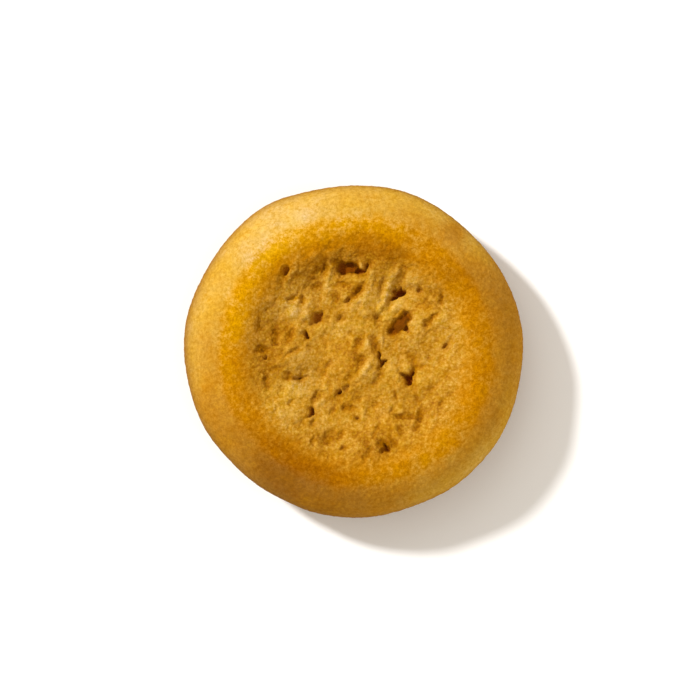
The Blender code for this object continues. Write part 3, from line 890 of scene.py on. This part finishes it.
# The values between which noises are used, and how far they move the tones or fray the borders
SPOTS_RANGE = (0.3, 0.7)
SPECKS_RANGE = (0.37, 0.63)
GOLD_RANGE = (0.35, 0.65)
BLOTCH_TONE = 0.07
GRIT_TONE = 0.13
FRAY_REACH = 0.6

# Single crumbs: their size, the distances from their middle that count, and what they do there
CRUMB_SIZE = 0.40
CRUMB_DISTANCES = (0.15, 0.75)
CRUMB_TONE = 0.09

# The dull surface, and the bump of its grain
DOUGH_ROUGHNESS = 0.75
DOUGH_SHINE = 0.01
GRAIN_STRENGTH = 0.9
GRAIN_HEIGHT = 0.12


def crust_colour(nodes, fray):
    """The smooth rim: amber on its crest and sandy on its flank, browner or paler by direction and
    by patches, partly painted light and shade.
    """
    tone = nodes.math("ADD", nodes.math("MULTIPLY", nodes.mask("pale"), PATCH_TONE), MIDDLE_TONE)
    tone = nodes.math("ADD", tone, nodes.swing(BLOTCHES, BLOTCH_TONE))
    flank = nodes.ramp(nodes.math("ADD", nodes.mask("flank"), fray), 0.0, 1.0)
    return nodes.mix(flank, nodes.tones(tone, CREST_TONES), nodes.tones(tone, FLANK_TONES))


def crumb_colour(nodes, level):
    """The rough crumb: paler the higher a place stands, partly painted shade and light, with single
    crumbs and grit on it.
    """
    grit = nodes.ramp(nodes.cells(CRUMB_SIZE), *CRUMB_DISTANCES, CRUMB_TONE, -CRUMB_TONE)
    grit = nodes.math("ADD", grit, nodes.swing(GRIT, GRIT_TONE))
    return nodes.tones(nodes.math("ADD", level, grit), CRUMB_TONES)


def speckled(nodes, colour, level):
    """The colour with the dark and pale specks of the crest, the crumb or the flank."""
    share = nodes.ramp(nodes.noise(SPECKS), *SPECKS_RANGE)
    speck = nodes.mix(share, DARK_CREST_SPECK, PALE_CREST_SPECK)
    speck = nodes.mix(nodes.mask("crumb"), speck, nodes.mix(share, DARK_SPECK, PALE_SPECK))
    speck = nodes.mix(nodes.mask("flank"), speck, nodes.mix(share, DARK_RIM_SPECK, PALE_RIM_SPECK))
    colour = nodes.mix(1.0, colour, speck, "MULTIPLY")
    milky = nodes.math("MULTIPLY", nodes.mask("crumb"), nodes.ramp(level, *MILKY_TONES))
    milky = nodes.mix(nodes.math("MULTIPLY", share, milky), NOTHING, MILKY_SPECK)
    return nodes.mix(1.0, colour, milky, "ADD")


def add_grain(nodes):
    """The fine bump of the dough's grain."""
    bump = nodes.tree.nodes.new("ShaderNodeBump")
    bump.inputs["Strength"].default_value = GRAIN_STRENGTH
    bump.inputs["Distance"].default_value = GRAIN_HEIGHT * MM
    nodes.link(nodes.noise(GRAIN), bump.inputs["Height"])
    nodes.link(bump.outputs["Normal"], nodes.shader.inputs["Normal"])


def dough_material():
    """Baked dough, from its crumb and pits over its crust to its browner base, with shade painted
    into its pits and creases and light onto its lumps and the upper left of its crust.
    """
    material = bpy.data.materials.new("baked_dough")
    nodes = Nodes(material)
    fray = nodes.swing(FRAYS, FRAY_REACH)
    # Darker in the creases and paler on the lumps: partly painted shade and light
    level = nodes.ramp(nodes.mask("relief"), *RELIEF_RANGE, *RELIEF_SHADE_TONES)
    level = nodes.math("ADD", level, nodes.mask("pale"))
    crumb = nodes.ramp(nodes.math("ADD", nodes.mask("crumb"), fray), 0.0, 1.0)
    colour = nodes.mix(crumb, crust_colour(nodes, fray), crumb_colour(nodes, level))
    # Pits darken with depth: painted shade with darker dough
    colour = nodes.mix(nodes.ramp(nodes.mask("pit"), *PIT_RANGE), colour, PIT_DOUGH_AND_SHADE_COLOUR)
    colour = nodes.mix(nodes.mask("base"), colour, BASE_COLOUR)
    colour = speckled(nodes, colour, level)
    gold = nodes.mix(nodes.ramp(nodes.noise(GOLD_SPOTS), *GOLD_RANGE), DEEP_GOLD, PALE_GOLD)
    colour = nodes.mix(1.0, colour, gold, "MULTIPLY")
    nodes.link(colour, nodes.shader.inputs["Base Color"])
    nodes.shader.inputs["Roughness"].default_value = DOUGH_ROUGHNESS
    nodes.shader.inputs["Specular IOR Level"].default_value = DOUGH_SHINE
    add_grain(nodes)
    return material


# The pale floor
FLOOR_HALF = 1500
FLOOR_COLOUR = (0.9, 0.9, 0.9)
FLOOR_ROUGHNESS = 0.9
FLOOR_SHINE = 0.1


def make_floor():
    """A plain square far wider than the picture."""
    mesh = bpy.data.meshes.new("floor")
    half = FLOOR_HALF * MM
    corners = [(-half, -half, 0), (half, -half, 0), (half, half, 0), (-half, half, 0)]
    mesh.from_pydata(corners, [], [(0, 1, 2, 3)])
    floor = bpy.data.objects.new("floor", mesh)
    bpy.context.scene.collection.objects.link(floor)
    material = bpy.data.materials.new("pale_floor")
    material.use_nodes = True
    shader = material.node_tree.nodes["Principled BSDF"]
    shader.inputs["Base Color"].default_value = (*FLOOR_COLOUR, 1)
    shader.inputs["Roughness"].default_value = FLOOR_ROUGHNESS
    shader.inputs["Specular IOR Level"].default_value = FLOOR_SHINE
    mesh.materials.append(material)


# The lights: the name of each, its strength, how wide it looks, how high it stands above the
# floor and the direction that it comes from, the last three as angles
Light = namedtuple("Light", "name strength width height direction")
LIGHTS = (
    Light("key", 3.6, 7, 37.5, 144.5),
    Light("side", 0.3, 40, 45, 110),
    Light("fill", 0.7, 50, 25, 335),
)
SKY_COLOUR = (0.63, 0.57, 0.49)


def make_lights():
    """A soft key light from the upper left with two fainter, wider ones."""
    for light in LIGHTS:
        sun = bpy.data.lights.new(light.name, "SUN")
        sun.energy = light.strength
        sun.angle = radians(light.width)
        lamp = bpy.data.objects.new(light.name, sun)
        bpy.context.scene.collection.objects.link(lamp)
        up = radians(light.height)
        turn = radians(light.direction)
        towards = Vector((cos(up) * cos(turn), cos(up) * sin(turn), sin(up)))
        lamp.rotation_euler = towards.to_track_quat("Z", "Y").to_euler()


def make_sky():
    """The even light of the room."""
    world = bpy.data.worlds.new("sky")
    bpy.context.scene.world = world
    world.use_nodes = True
    world.node_tree.nodes["Background"].inputs["Color"].default_value = (*SKY_COLOUR, 1)


# The picture's side, and the middle and the radius of the cookie in it, in pixels
PICTURE = 700
CENTRE_PIXEL = Vector((353.5, 351.6))
RADIUS_PIXELS = 167.5

# The camera's lens and sensor, and the distances between which it sees
LENS = 150
SENSOR = 36
CLIP_START = 10
CLIP_END = 10000


def make_camera():
    """A camera straight above the cookie, at the height that shows it at its size."""
    camera = bpy.data.cameras.new("camera")
    camera.lens = LENS
    camera.sensor_width = SENSOR
    pixel = RADIUS / RADIUS_PIXELS
    distance = PICTURE * pixel * LENS / SENSOR
    shift = (Vector((PICTURE / 2, PICTURE / 2)) - CENTRE_PIXEL) * pixel
    stand = bpy.data.objects.new("camera", camera)
    bpy.context.scene.collection.objects.link(stand)
    stand.location = Vector((shift.x, -shift.y, distance + WAIST_HEIGHT)) * MM
    camera.clip_start = CLIP_START * MM
    camera.clip_end = CLIP_END * MM
    bpy.context.scene.camera = stand


cookie = make_cookie()
cookie.data.materials.append(dough_material())
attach(cookie, "root")
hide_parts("cookie")
make_floor()
make_lights()
make_sky()
make_camera()
bpy.context.scene.view_settings.view_transform = "Standard"
